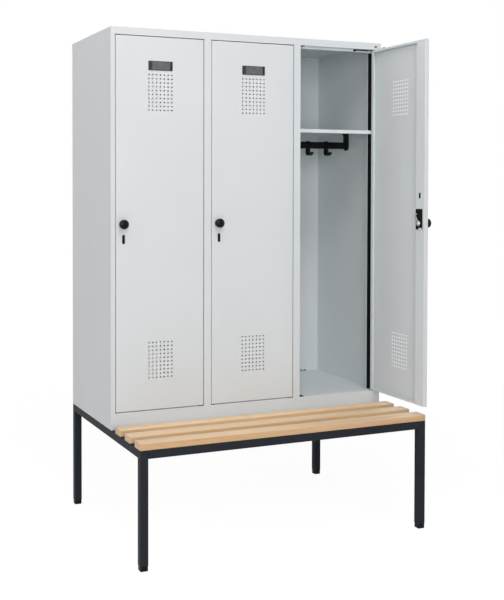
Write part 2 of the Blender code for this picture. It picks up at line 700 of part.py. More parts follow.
def knob_profile():
    """The knob's half outline from the top of its dome down to the nut that holds the latch."""
    head_under = KNOB_REACH - KNOB_HEAD
    shoulder = head_under + KNOB_EDGE
    dome = []
    for step in range(DOME_STEPS + 1):
        angle = math.radians(90 * (1 - step / DOME_STEPS))
        rise = (KNOB_REACH - shoulder) * math.sin(angle)
        dome.append((KNOB_RADIUS * math.cos(angle), shoulder + rise))
    dome[0] = (0, KNOB_REACH)
    nut_top = -(LATCH_BACK - DOOR_FACE) - SEAM
    return dome + [
        (KNOB_RADIUS, head_under),
        (KNOB_STEM_RADIUS, head_under),
        (KNOB_STEM_RADIUS, KNOB_BASE),
        (KNOB_BASE_RADIUS, KNOB_BASE),
        (KNOB_BASE_RADIUS, SEAM),
        (SPINDLE_RADIUS, SEAM),
        (SPINDLE_RADIUS, nut_top),
        (NUT_RADIUS, nut_top),
        (NUT_RADIUS, nut_top - NUT_THICKNESS),
        (0, nut_top - NUT_THICKNESS),
    ]


def build_knob(number, lock):
    """The turned knob and spindle, about the lock's axis."""
    shell = bmesh.new()
    points = [shell.verts.new((radius, 0, height)) for radius, height in knob_profile()]
    for first, second in zip(points, points[1:]):
        shell.edges.new((first, second))
    name = f"door_{number}_knob"
    mesh = bpy.data.meshes.new(name)
    shell.to_mesh(mesh)
    shell.free()
    knob = put(name, mesh, "black_plastic", lock, (0, 0, 0), FACING_Y)
    turn = knob.modifiers.new("turn", "SCREW")
    turn.steps = CIRCLE_SIDES
    turn.render_steps = CIRCLE_SIDES
    turn.use_merge_vertices = True
    turn.merge_threshold = SEAM / 10
    turn.use_smooth_shade = True
    return knob


def build_latch(number, lock):
    """The plate on the spindle that swings behind the stop. At rest it stands up, unlocked."""
    half = LATCH_WIDTH / 2
    root = math.degrees(math.asin(half / LATCH_HUB_RADIUS))
    outline = arc((LATCH_REACH - half, 0), half, -90, 90)
    outline += arc((0, 0), LATCH_HUB_RADIUS, root, 360 - root, CIRCLE_SIDES)
    hole = arc((0, 0), SPINDLE_RADIUS + SEAM, 0, 360 * (1 - 1 / CIRCLE_SIDES), CIRCLE_SIDES - 1)
    mesh = outline_mesh(f"door_{number}_latch", [outline, hole], LATCH_THICKNESS)
    place = (0, (LATCH_FRONT + LATCH_BACK) / 2 - DOOR_FACE, 0)
    swing = (FACING_Y[0], math.radians(LATCH_TURN - 180), 0)
    put(f"door_{number}_latch", mesh, "zinc_plate", lock, place, swing)


def build_door(number, parent):
    """One door and what it carries, about its hinge axis."""
    hinge = bpy.data.objects.new(f"door_{number}_hinge_axis", None)
    bpy.data.collections[PARTS].objects.link(hinge)
    hinge.parent = parent
    across = opening_left(number) + OPENING_WIDTH - DOOR_GAP - HINGE_INSET
    hinge.location = (across, HINGE_DEPTH, OPENING_BOTTOM + DOOR_GAP)
    if number == OPEN_DOOR:
        hinge.rotation_euler = (0, 0, math.radians(OPEN_ANGLE))
    lock = bpy.data.objects.new(f"door_{number}_lock_axis", None)
    bpy.data.collections[PARTS].objects.link(lock)
    lock.parent = hinge
    lock.location = (LOCK_X, DOOR_FACE, LOCK_Z)
    build_door_panel(number, hinge)
    build_lock_channel(number, hinge)
    build_label_holder(number, hinge)
    build_lock_case(number, hinge)
    build_knob(number, lock)
    build_latch(number, lock)


def origin_offset():
    """The middle of the whole object in the locker's frame, with the open door and its knob."""
    axis = opening_left(OPEN_DOOR) + OPENING_WIDTH - DOOR_GAP - HINGE_INSET
    knob_reach = axis + HINGE_DEPTH + KNOB_REACH
    right = max(HALF_WIDTH, knob_reach)
    front = min(-BENCH_DEPTH, HINGE_DEPTH + DOOR_LEFT)
    return ((right - HALF_WIDTH) / 2, (CARCASS_DEPTH + front) / 2, 0)


def smooth_round_pieces():
    """Shades the turned and folded pieces smooth, except across their sharp edges."""
    for item in bpy.data.collections[PARTS].objects:
        if item.type == "MESH":
            item.data.shade_smooth()
            item.data.set_sharp_from_angle(angle=math.radians(40))


def main():
    clear_scene()
    make_collection(PARTS)
    make_collection(CUTTERS)
    for name in FINISHES:
        make_finish(name)
    locker = bpy.data.objects.new("locker_frame", None)
    bpy.data.collections[PARTS].objects.link(locker)
    locker.location = -Vector(origin_offset())
    build_underframe(locker)
    build_bench(locker)
    build_shell(locker)
    build_front_frame(locker)
    hook_mesh = make_hook_mesh()
    for number in range(1, COMPARTMENTS + 1):
        build_seal(number, locker)
        build_shelf(number, locker)
        build_coat_rail(number, hook_mesh, locker)
        build_door(number, locker)
    smooth_round_pieces()


main()
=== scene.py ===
"""Looks of the locker with bench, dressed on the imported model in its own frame, in metres."""

import json
import math

import bmesh
import bpy
from mathutils import Matrix, Vector

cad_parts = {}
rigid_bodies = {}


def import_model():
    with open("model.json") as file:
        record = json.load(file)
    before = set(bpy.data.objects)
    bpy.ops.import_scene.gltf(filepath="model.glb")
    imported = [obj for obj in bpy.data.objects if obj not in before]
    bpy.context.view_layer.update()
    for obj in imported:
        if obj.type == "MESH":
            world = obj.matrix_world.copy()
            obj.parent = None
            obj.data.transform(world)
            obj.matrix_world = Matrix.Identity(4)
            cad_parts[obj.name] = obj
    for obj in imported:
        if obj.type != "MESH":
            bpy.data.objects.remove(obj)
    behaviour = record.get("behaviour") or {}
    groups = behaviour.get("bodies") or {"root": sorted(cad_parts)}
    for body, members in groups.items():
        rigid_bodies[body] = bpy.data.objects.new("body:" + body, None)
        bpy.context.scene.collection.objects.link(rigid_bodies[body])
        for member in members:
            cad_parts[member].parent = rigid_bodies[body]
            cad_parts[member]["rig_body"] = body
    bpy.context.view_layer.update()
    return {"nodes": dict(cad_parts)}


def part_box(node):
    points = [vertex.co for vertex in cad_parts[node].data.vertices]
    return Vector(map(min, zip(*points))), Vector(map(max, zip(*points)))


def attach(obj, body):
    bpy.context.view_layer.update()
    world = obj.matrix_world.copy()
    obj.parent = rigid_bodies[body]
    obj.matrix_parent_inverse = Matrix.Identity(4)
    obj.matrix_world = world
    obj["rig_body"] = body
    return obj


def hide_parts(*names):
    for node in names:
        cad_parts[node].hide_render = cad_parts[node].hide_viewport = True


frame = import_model()

COMPARTMENTS = (1, 2, 3)
SHEET = 0.001
SHEET_EASE = 0.00035
HALF_WIDTH = 0.6

front_low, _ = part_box("front_frame")
# From the locker's own frame, X from its middle and Y from its front face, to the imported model's
PLACE = Matrix.Translation((front_low.x + HALF_WIDTH, front_low.y, 0))
FIRST_OPENING_LEFT = -0.5832
OPENING_WIDTH = 0.3686
OPENING_PITCH = 0.3989
OPENING_BOTTOM = 0.4879
OPENING_TOP = 1.9224

# Edges with a smaller angle between their faces than this are shaded smooth, in degrees
SMOOTH_BELOW = 50.0
DOOR_SMOOTH_BELOW = 38.0
FITTING_SMOOTH_BELOW = 40.0
KNOB_SMOOTH_BELOW = 42.0
# Edges sharper than this are eased, in degrees
EASED_ABOVE = 35.0


def opening_left(number):
    return FIRST_OPENING_LEFT + (number - 1) * OPENING_PITCH


# ---------------------------------------------------------------- materials


def new_material(name, colour, roughness, metallic=0.0, specular=0.5):
    """A material whose colour and roughness are starting values for the nodes that are added."""
    material = bpy.data.materials.new(name)
    material.use_nodes = True
    shader = material.node_tree.nodes["Principled BSDF"]
    shader.inputs["Base Color"].default_value = (*colour, 1.0)
    shader.inputs["Roughness"].default_value = roughness
    shader.inputs["Metallic"].default_value = metallic
    shader.inputs["Specular IOR Level"].default_value = specular
    return material


def add_node(owner, kind, values=None, **settings):
    """A node in the tree of a material or of the world, with its settings and socket values."""
    made = owner.node_tree.nodes.new(kind)
    for name, value in settings.items():
        setattr(made, name, value)
    for name, value in (values or {}).items():
        made.inputs[name].default_value = value
    return made


def join(owner, source, output, target, entry):
    owner.node_tree.links.new(source.outputs[output], target.inputs[entry])


def object_noise(material, scale, detail, stretch=(1.0, 1.0, 1.0)):
    """Noise in the piece's own coordinates, in metres, drawn out along an axis where asked."""
    coordinates = add_node(material, "ShaderNodeTexCoord")
    mapping = add_node(material, "ShaderNodeMapping", {"Scale": stretch})
    noise = add_node(material, "ShaderNodeTexNoise", {"Scale": scale, "Detail": detail})
    join(material, coordinates, "Object", mapping, "Vector")
    join(material, mapping, "Vector", noise, "Vector")
    return noise


def ramp_between(material, source, output, low, high, first, second):
    """A colour that goes from one to the other while the source goes from low to high."""
    ramp = add_node(material, "ShaderNodeValToRGB")
    ramp.color_ramp.elements[0].position = low
    ramp.color_ramp.elements[0].color = (*first, 1.0)
    ramp.color_ramp.elements[1].position = high
    ramp.color_ramp.elements[1].color = (*second, 1.0)
    join(material, source, output, ramp, "Fac")
    return ramp


def roughness_between(material, source, output, low, high):
    reach = add_node(material, "ShaderNodeMapRange", {"To Min": low, "To Max": high})
    join(material, source, output, reach, "Value")
    join(material, reach, "Result", material.node_tree.nodes["Principled BSDF"], "Roughness")


def bump_from(material, source, output, strength, distance):
    bump = add_node(material, "ShaderNodeBump", {"Strength": strength, "Distance": distance})
    join(material, source, output, bump, "Height")
    join(material, bump, "Normal", material.node_tree.nodes["Principled BSDF"], "Normal")


def powder_coat(name, colour, roughness, variation, specular=0.5):
    """Baked powder coat: a fine orange peel, and a slightly uneven colour and gloss."""
    material = new_material(name, colour, roughness, specular=specular)
    shader = material.node_tree.nodes["Principled BSDF"]
    cloud = object_noise(material, 3.5, 3.0)
    darker = tuple(value * (1 - variation) for value in colour)
    lighter = tuple(value * (1 + variation) for value in colour)
    tone = ramp_between(material, cloud, "Fac", 0.35, 0.65, darker, lighter)
    join(material, tone, "Color", shader, "Base Color")
    patches = object_noise(material, 45.0, 3.0)
    roughness_between(material, patches, "Fac", roughness - 0.05, roughness + 0.05)
    peel = object_noise(material, 620.0, 2.0)
    bump_from(material, peel, "Fac", 0.25, 0.00006)
    return material


def beech_wood():
    """Lacquered beech: long soft grain, growth rings, flecks, and a painted shade that keeps the
    sides darker than the top.
    """
    material = new_material("beech", (0.80, 0.58, 0.36), 0.25)
    shader = material.node_tree.nodes["Principled BSDF"]
    shader.inputs["Coat Weight"].default_value = 0.25
    shader.inputs["Coat Roughness"].default_value = 0.25
    coordinates = add_node(material, "ShaderNodeTexCoord")
    own = add_node(material, "ShaderNodeObjectInfo")
    shift = add_node(material, "ShaderNodeVectorMath", operation="SCALE")
    shift.inputs[0].default_value = (3.1, 1.7, 2.3)
    join(material, own, "Random", shift, "Scale")
    moved = add_node(material, "ShaderNodeVectorMath", operation="ADD")
    join(material, coordinates, "Object", moved, 0)
    join(material, shift, "Vector", moved, 1)

    def grain(stretch, scale, detail, roughness=0.55):
        mapping = add_node(material, "ShaderNodeMapping", {"Scale": stretch})
        noise = add_node(
            material,
            "ShaderNodeTexNoise",
            {"Scale": scale, "Detail": detail, "Roughness": roughness},
        )
        join(material, moved, "Vector", mapping, "Vector")
        join(material, mapping, "Vector", noise, "Vector")
        return noise

    broad = grain((1.2, 22.0, 22.0), 1.0, 3.0)
    fine = grain((4.0, 260.0, 260.0), 1.0, 4.0, 0.65)
    fleck = grain((170.0, 1500.0, 1500.0), 1.0, 1.0)
    rings_map = add_node(material, "ShaderNodeMapping", {"Scale": (1.1, 26.0, 9.0)})
    rings = add_node(
        material,
        "ShaderNodeTexWave",
        {"Scale": 1.6, "Distortion": 5.0, "Detail": 2.0, "Detail Scale": 0.7},
        wave_type="BANDS",
        bands_direction="Y",
    )
    join(material, moved, "Vector", rings_map, "Vector")
    join(material, rings_map, "Vector", rings, "Vector")
    base = ramp_between(
        material, broad, "Fac", 0.25, 0.78, (0.760, 0.548, 0.316), (0.960, 0.800, 0.560)
    )

    def layer(below, mask, low, high, colour_there, strength, output="Fac"):
        """The colour below, multiplied by another where the mask is high."""
        shade = ramp_between(material, mask, output, low, high, (1, 1, 1), colour_there)
        mix = add_node(material, "ShaderNodeMix", data_type="RGBA", blend_type="MULTIPLY")
        mix.inputs["Factor"].default_value = strength
        # The colour sockets of a mix node: 6 and 7 are the inputs A and B, and 2 is the result
        material.node_tree.links.new(below, mix.inputs[6])
        material.node_tree.links.new(shade.outputs["Color"], mix.inputs[7])
        return mix.outputs[2]

    toned = layer(base.outputs["Color"], rings, 0.30, 0.95, (0.89, 0.80, 0.68), 0.55)
    toned = layer(toned, fine, 0.42, 0.80, (0.82, 0.71, 0.57), 0.80)
    toned = layer(toned, fleck, 0.60, 0.72, (0.68, 0.52, 0.38), 0.50)
    # How far a face turns away from upward, 0 on the top and 1 on the sides: the mask of a painted
    # shade on the sides
    geometry = add_node(material, "ShaderNodeNewGeometry")
    facing = add_node(material, "ShaderNodeSeparateXYZ")
    upright = add_node(material, "ShaderNodeMath", operation="SUBTRACT")
    upright.inputs[0].default_value = 1.0
    join(material, geometry, "Normal", facing, "Vector")
    join(material, facing, "Z", upright, 1)
    # Painted shade: the sides are multiplied darker and warmer than the top, as if light fell
    # mostly from above
    toned = layer(toned, upright, 0.1, 0.6, (0.81, 0.73, 0.65), 1.0, "Value")
    material.node_tree.links.new(toned, shader.inputs["Base Color"])
    roughness_between(material, fine, "Fac", 0.32, 0.50)
    bump_from(material, fine, "Fac", 0.3, 0.00008)
    return material


def moulded_plastic(name, colour, roughness, grain, specular=0.5):
    """Moulded plastic with a fine spark-eroded grain."""
    material = new_material(name, colour, roughness, specular=specular)
    shader = material.node_tree.nodes["Principled BSDF"]
    cloud = object_noise(material, 60.0, 2.0)
    darker = tuple(value * 0.85 for value in colour)
    lighter = tuple(value * 1.2 for value in colour)
    tone = ramp_between(material, cloud, "Fac", 0.3, 0.7, darker, lighter)
    join(material, tone, "Color", shader, "Base Color")
    speckle = object_noise(material, 2400.0, 1.0)
    roughness_between(material, speckle, "Fac", roughness - 0.06, roughness + 0.06)
    bump_from(material, speckle, "Fac", grain, 0.00005)
    return material


def plated_zinc():
    """Bright zinc plate, slightly clouded and brushed."""
    material = new_material("zinc_plate", (0.80, 0.80, 0.78), 0.34, metallic=1.0)
    shader = material.node_tree.nodes["Principled BSDF"]
    cloud = object_noise(material, 120.0, 3.0)
    tone = ramp_between(material, cloud, "Fac", 0.3, 0.7, (0.72, 0.72, 0.70), (0.88, 0.88, 0.86))
    join(material, tone, "Color", shader, "Base Color")
    brushed = object_noise(material, 300.0, 3.0, stretch=(1.0, 1.0, 9.0))
    roughness_between(material, brushed, "Fac", 0.24, 0.42)
    bump_from(material, brushed, "Fac", 0.15, 0.00004)
    return material


# Name, colour, roughness, then variation or grain, and specular level
FINISHES = {
    "light_grey_paint": powder_coat("light_grey_paint", (0.665, 0.727, 0.750), 0.42, 0.012, 0.4),
    "anthracite_paint": powder_coat("anthracite_paint", (0.0235, 0.0285, 0.0345), 0.50, 0.06, 0.05),
    "beech": beech_wood(),
    "black_plastic": moulded_plastic("black_plastic", (0.0050, 0.0057, 0.0063), 0.42, 0.25, 0.12),
    "knob_plastic": moulded_plastic("knob_plastic", (0.0040, 0.0044, 0.0047), 0.20, 0.08, 0.13),
    "black_rubber": moulded_plastic("black_rubber", (0.0045, 0.0045, 0.0047), 0.72, 0.4, 0.08),
    "label_plastic": moulded_plastic("label_plastic", (0.0430, 0.0470, 0.0500), 0.40, 0.2, 0.15),
    "label_bar": moulded_plastic("label_bar", (0.0150, 0.0155, 0.0165), 0.40, 0.2, 0.15),
    "card": moulded_plastic("card", (0.1200, 0.1310, 0.1340), 0.35, 0.1, 0.2),
    "white_plastic": moulded_plastic("white_plastic", (0.86, 0.88, 0.88), 0.40, 0.1, 0.4),
    "zinc_plate": plated_zinc(),
}


# ---------------------------------------------------------------- mesh helpers


def new_piece(name, shell, finish, body, nodes=(), smooth_below=SMOOTH_BELOW, matrix=None):
    """A piece from a bmesh, with even shading, that rides on a body and stands for its nodes."""
    bmesh.ops.recalc_face_normals(shell, faces=shell.faces[:])
    mesh = bpy.data.meshes.new(name)
    shell.to_mesh(mesh)
    shell.free()
    if matrix is not None:
        mesh.transform(matrix)
    for polygon in mesh.polygons:
        polygon.use_smooth = True
    mesh.set_sharp_from_angle(angle=math.radians(smooth_below))
    mesh.materials.append(FINISHES[finish])
    piece = bpy.data.objects.new(name, mesh)
    bpy.context.scene.collection.objects.link(piece)
    weighted = piece.modifiers.new("even_shading", "WEIGHTED_NORMAL")
    weighted.keep_sharp = True
    weighted.weight = 100
    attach(piece, body)
    if nodes:
        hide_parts(*nodes)
    return piece


def node_shell(node):
    """A CAD node's mesh with its flat faces whole again."""
    shell = bmesh.new()
    shell.from_mesh(frame["nodes"][node].data)
    bmesh.ops.remove_doubles(shell, verts=shell.verts[:], dist=0.000003)
    bmesh.ops.dissolve_limit(
        shell,
        angle_limit=math.radians(0.6),
        verts=shell.verts[:],
        edges=shell.edges[:],
    )
    return shell


def round_edges(shell, width, segments=2, chosen=None):
    """Rounds the sharp edges, or those of them that are chosen."""
    limit = math.radians(EASED_ABOVE)
    edges = [
        edge
        for edge in shell.edges
        if len(edge.link_faces) == 2
        and edge.calc_face_angle(0.0) > limit
        and (chosen is None or chosen(edge))
    ]
    bmesh.ops.bevel(
        shell,
        geom=edges,
        offset=width,
        segments=segments,
        affect="EDGES",
        profile=0.5,
        clamp_overlap=True,
    )


def refined(node, finish, width):
    """The CAD node again, with its sharp edges eased."""
    shell = node_shell(node)
    round_edges(shell, width)
    new_piece(f"{node}_shown", shell, finish, frame["nodes"][node]["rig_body"], [node])


def add_block(shell, low, high):
    low, high = Vector(low), Vector(high)
    size = Matrix.Diagonal((*(high - low), 1))
    bmesh.ops.create_cube(shell, size=1, matrix=Matrix.Translation((low + high) / 2) @ size)


def add_shell(shell, added):
    """Adds a second shell to a first, and frees the second."""
    mesh = bpy.data.meshes.new("added")
    added.to_mesh(mesh)
    added.free()
    shell.from_mesh(mesh)
    bpy.data.meshes.remove(mesh)


def rounded_block(low, high, width, segments=2):
    """A block with every edge rounded."""
    block = bmesh.new()
    add_block(block, low, high)
    round_edges(block, width, segments)
    return block


def trim_block(name, low, high, width, finish, body, smooth_below, matrix, segments=2):
    """A small rounded block that stands for no node."""
    shell = rounded_block(low, high, width, segments)
    new_piece(name, shell, finish, body, (), smooth_below, matrix)


def rounded_outline(half_width, half_height, radius, steps=5):
    """A rectangle's outline with round corners, about the origin."""
    points = []
    for corner, (right, up) in enumerate(((1, 1), (-1, 1), (-1, -1), (1, -1))):
        middle = (right * (half_width - radius), up * (half_height - radius))
        for step in range(steps + 1):
            angle = math.radians(90 * (corner + step / steps))
            points.append(
                (middle[0] + radius * math.cos(angle), middle[1] + radius * math.sin(angle))
            )
    return points


def bridge_loops(shell, first, second):
    """Joins two rings of as many points with four-sided faces."""
    for index, start in enumerate(first):
        after = (index + 1) % len(first)
        shell.faces.new((start, first[after], second[after], second[index]))


def tube_shell(low, high, axis, wall=0.002, corner=0.0025):
    """A square tube, open at both ends, its ends slightly eased."""
    across = [name for name in "XYZ" if name != axis]
    start, end = low["XYZ".index(axis)], high["XYZ".index(axis)]
    middle = (low + high) / 2
    half = [(high["XYZ".index(name)] - low["XYZ".index(name)]) / 2 for name in across]
    ease = 0.0003
    shell = bmesh.new()

    def ring(inset, radius, along):
        points = []
        for first, second in rounded_outline(half[0] - inset, half[1] - inset, radius):
            place = Vector(middle)
            place["XYZ".index(across[0])] += first
            place["XYZ".index(across[1])] += second
            place["XYZ".index(axis)] = along
            points.append(shell.verts.new(place))
        return points

    loops = [
        ring(0, corner, start + ease),
        ring(0, corner, end - ease),
        ring(ease, corner - ease, end),
        ring(wall - ease, corner - wall + ease, end),
        ring(wall, corner - wall, end - ease),
        ring(wall, corner - wall, start + ease),
        ring(wall - ease, corner - wall + ease, start),
        ring(ease, corner - ease, start),
    ]
    for index, loop in enumerate(loops):
        bridge_loops(shell, loop, loops[(index + 1) % len(loops)])
    return shell


def revolve(profile, sides, matrix=None):
    """A closed solid about Z, from a half outline of (radius, height) from axis to axis."""
    shell = bmesh.new()
    rows = []
    for radius, height in profile:
        if radius == 0:
            rows.append([shell.verts.new((0, 0, height))])
            continue
        angles = [2 * math.pi * side / sides for side in range(sides)]
        rows.append(
            [shell.verts.new((radius * math.cos(a), radius * math.sin(a), height)) for a in angles]
        )
    for first, second in zip(rows, rows[1:]):
        for side in range(sides):
            after = (side + 1) % sides
            corners = [first[side % len(first)], first[after % len(first)]]
            corners += [second[after % len(second)], second[side % len(second)]]
            whole = list(dict.fromkeys(corners))
            if len(whole) > 2:
                shell.faces.new(whole)
    if matrix is not None:
        bmesh.ops.transform(shell, matrix=matrix, verts=shell.verts[:])
    return shell


def boolean_cut(shell, cutter):
    """The shell with the cutter taken away, as a new bmesh. Both are freed."""
    objects = []
    bmesh.ops.recalc_face_normals(cutter, faces=cutter.faces[:])
    for label, source in (("whole", shell), ("cutter", cutter)):
        mesh = bpy.data.meshes.new(label)
        source.to_mesh(mesh)
        source.free()
        item = bpy.data.objects.new(label, mesh)
        bpy.context.scene.collection.objects.link(item)
        objects.append(item)
    whole, tool = objects
    modifier = whole.modifiers.new("cut", "BOOLEAN")
    modifier.operation = "DIFFERENCE"
    modifier.solver = "EXACT"
    modifier.object = tool
    bpy.context.view_layer.update()
    result = bpy.data.meshes.new_from_object(
        whole.evaluated_get(bpy.context.evaluated_depsgraph_get())
    )
    for item in objects:
        mesh = item.data
        bpy.data.objects.remove(item, do_unlink=True)
        bpy.data.meshes.remove(mesh)
    made = bmesh.new()
    made.from_mesh(result)
    bpy.data.meshes.remove(result)
    return made


def obround_outline(width, height, middle, steps=8):
    """An upright slot's outline with round ends."""
    radius, rise = width / 2, (height - width) / 2
    points = []
    for side, start in ((1, 0), (-1, 180)):
        for step in range(steps + 1):
            angle = math.radians(start + 180 * step / steps)
            points.append(
                (
                    middle[0] + radius * math.cos(angle),
                    middle[1] + side * rise + radius * math.sin(angle),
                )
            )
    return points


def prism_along_y(outline, near, far, shell=None):
    """A prism from an outline in X and Z."""
    shell = shell or bmesh.new()
    first = [shell.verts.new((across, near, up)) for across, up in outline]
    second = [shell.verts.new((across, far, up)) for across, up in outline]
    shell.faces.new(first)
    shell.faces.new(list(reversed(second)))
    bridge_loops(shell, first, second)
    return shell


# ---------------------------------------------------------------- underframe and bench


def dress_underframe():
    for node, axis in (
        ("front_left_leg", "Z"),
        ("front_right_leg", "Z"),
        ("rear_left_leg", "Z"),
        ("rear_right_leg", "Z"),
        ("front_rail", "X"),
        ("rear_rail", "X"),
        ("middle_rail", "X"),
        ("left_rail", "Y"),
        ("right_rail", "Y"),
    ):
        low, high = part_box(node)
        tube = tube_shell(low, high, axis)
        new_piece(f"{node}_shown", tube, "anthracite_paint", "locker", [node])
    for node in ("front_left_foot", "front_right_foot", "rear_left_foot", "rear_right_foot"):
        refined(node, "black_plastic", 0.0012)


SLAT_SIDE_ROUNDING = 0.0032
SLAT_END_ROUNDING = 0.0014
LONG_EDGE = 0.5
SHORT_EDGE = 0.0001


def reach_along_x(edge):
    return abs((edge.verts[0].co - edge.verts[1].co).x)


def dress_bench():
    """Each slat stands at its own place, so that its grain runs in its own coordinates."""
    for number in (1, 2, 3):
        node = f"bench_slat_{number}"
        low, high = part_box(node)
        middle = (low + high) / 2
        shell = bmesh.new()
        add_block(shell, low - middle, high - middle)
        sides = [edge for edge in shell.edges if reach_along_x(edge) > LONG_EDGE]
        bmesh.ops.bevel(
            shell, geom=sides, offset=SLAT_SIDE_ROUNDING, segments=4, affect="EDGES", profile=0.5
        )
        ends = [
            edge
            for edge in shell.edges
            if reach_along_x(edge) < SHORT_EDGE and edge.calc_face_angle(0.0) > 1.0
        ]
        bmesh.ops.bevel(
            shell, geom=ends, offset=SLAT_END_ROUNDING, segments=3, affect="EDGES", profile=0.5
        )
        piece = new_piece(f"{node}_shown", shell, "beech", "locker", [node])
        piece.location = middle


# ---------------------------------------------------------------- carcass


def dress_carcass():
    for node in (
        "left_side_panel",
        "right_side_panel",
        "back_panel",
        "top_panel",
        "floor_panel",
        "front_frame",
        "partition_1",
        "partition_2",
        "shelf_1",
        "shelf_2",
        "shelf_3",
    ):
        refined(node, "light_grey_paint", SHEET_EASE)
    for number in COMPARTMENTS:
        # The seal strip is black rubber, and its black also stands in for the deep shade in the
        # hinge-side gap: partly painted shade
        refined(f"door_{number}_seal", "black_rubber", 0.0005)
        refined(f"coat_rail_{number}", "black_plastic", 0.0008)
        for letter in "abc":
            refined(f"coat_hook_{number}{letter}", "black_plastic", 0.0010)


# ---------------------------------------------------------------- doors, in their hinge frame

DOOR_LEFT = -0.3566
DOOR_RIGHT = 0.006
DOOR_FACE = -0.004
DOOR_BACK = 0.0135
DOOR_HEIGHT = 1.4285
DOOR_MIDDLE = (DOOR_LEFT + DOOR_RIGHT) / 2
LOCK_X = -0.3291
LOCK_Z = DOOR_HEIGHT / 2
KEY_SLOT_X = DOOR_LEFT + 0.031
KEY_SLOT_Z = LOCK_Z - 0.0576
CHANNEL_WINDOW_Z = LOCK_Z + 0.1080
SPINDLE_HOLE = 0.0088
PIN_BELOW = 0.009
PIN_RADIUS = 0.0025
PIN_EASE = 0.0004
PIN_IN_SKIN = 0.0012
VENT_FIELDS = (0.1911, DOOR_HEIGHT - 0.2116)
VENT_ROWS = 10
VENT_COLUMNS = 7
VENT_PITCH_X = 0.0158
VENT_PITCH_Z = 0.0150
VENT_RADIUS = 0.0030
VENT_SIDES = 14


def hinge_matrix(number):
    """From a door's own frame, with its hinge axis as Z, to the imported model's."""
    low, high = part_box(f"door_{number}_panel")
    if number == 3:
        place = Vector((high.x + DOOR_FACE, high.y - DOOR_RIGHT, low.z + PIN_BELOW))
        return Matrix.Translation(place) @ Matrix.Rotation(math.radians(90), 4, "Z")
    return Matrix.Translation((high.x - DOOR_RIGHT, low.y - DOOR_FACE, low.z + PIN_BELOW))


def folded_door_shell():
    """The folded door skin with real bend radii, its lips, vents, key slot and hinge pins."""
    low = Vector((DOOR_LEFT, DOOR_FACE, 0))
    high = Vector((DOOR_RIGHT, DOOR_BACK, DOOR_HEIGHT))
    through = (DOOR_FACE - 0.002, DOOR_FACE + 0.003)
    skin = bmesh.new()
    add_block(skin, low, high)
    round_edges(skin, 0.0017, 4, chosen=lambda edge: not lies_along_y(edge))
    inner = bmesh.new()
    sheet = Vector((SHEET, SHEET, SHEET))
    add_block(inner, low + sheet, high - sheet)
    round_edges(inner, 0.0008, 3, chosen=lambda edge: not lies_along_y(edge))
    skin = boolean_cut(skin, inner)
    mouth = bmesh.new()
    add_block(
        mouth,
        (DOOR_LEFT + 0.0005 + SHEET, DOOR_BACK - 2 * SHEET, 0.009),
        (DOOR_RIGHT - 0.016, DOOR_BACK + 0.002, DOOR_HEIGHT - 0.009),
    )
    skin = boolean_cut(skin, mouth)
    holes = bmesh.new()
    turns = [2 * math.pi * side / VENT_SIDES for side in range(VENT_SIDES)]
    for field in VENT_FIELDS:
        for row in range(VENT_ROWS):
            for column in range(VENT_COLUMNS):
                across = DOOR_MIDDLE + (column - (VENT_COLUMNS - 1) / 2) * VENT_PITCH_X
                up = field + (row - (VENT_ROWS - 1) / 2) * VENT_PITCH_Z
                circle = [
                    (across + VENT_RADIUS * math.cos(turn), up + VENT_RADIUS * math.sin(turn))
                    for turn in turns
                ]
                prism_along_y(circle, *through, holes)
    prism_along_y(obround_outline(0.012, 0.036, (KEY_SLOT_X, KEY_SLOT_Z)), *through, holes)
    # A hair taller than wide, so that no two points of its outline coincide
    spindle = obround_outline(SPINDLE_HOLE, SPINDLE_HOLE + 0.0000001, (LOCK_X, LOCK_Z))
    prism_along_y(spindle, *through, holes)
    skin = boolean_cut(skin, holes)
    for start, end in (
        (-PIN_BELOW, PIN_IN_SKIN),
        (DOOR_HEIGHT - PIN_IN_SKIN, DOOR_HEIGHT + PIN_BELOW),
    ):
        half_outline = [
            (0, start),
            (PIN_RADIUS - PIN_EASE, start),
            (PIN_RADIUS, start + PIN_EASE),
            (PIN_RADIUS, end - PIN_EASE),
            (PIN_RADIUS - PIN_EASE, end),
            (0, end),
        ]
        add_shell(skin, revolve(half_outline, 20))
    return skin


def lies_along_y(edge):
    run = (edge.verts[1].co - edge.verts[0].co).normalized()
    return abs(run.y) > 0.99


def knob_shell():
    """The turned knob: a head that slopes to a soft rim, with a small dimple, on a stem."""
    profile = [
        (0.0, 0.0257),
        (0.0016, 0.0258),
        (0.0022, 0.0269),
        (0.0028, 0.0272),
        (0.0081, 0.0272),
        (0.0088, 0.0270),
        (0.0135, 0.0254),
        (0.0144, 0.0249),
        (0.0158, 0.0239),
        (0.0170, 0.0226),
        (0.0178, 0.0208),
        (0.0178, 0.0112),
        (0.0174, 0.0103),
        (0.0166, 0.0100),
        (0.0110, 0.0100),
        (0.0105, 0.0095),
        (0.0105, 0.0045),
        (0.0109, 0.0041),
        (0.0144, 0.0040),
        (0.0150, 0.0034),
        (0.0150, 0.0003),
        (0.0040, 0.0003),
        (0.0040, -0.0277),
        (0.0, -0.0277),
    ]
    return revolve(profile, 56, Matrix.Rotation(math.radians(90), 4, "X"))


def door_piece(node, shell, finish, body, hinge):
    """A piece in the door's frame that stands for the node of its name."""
    new_piece(f"{node}_shown", shell, finish, body, [node], DOOR_SMOOTH_BELOW, hinge)


def door_trim(name, low, high, width, finish, body, hinge, segments=2):
    trim_block(name, low, high, width, finish, body, DOOR_SMOOTH_BELOW, hinge, segments)


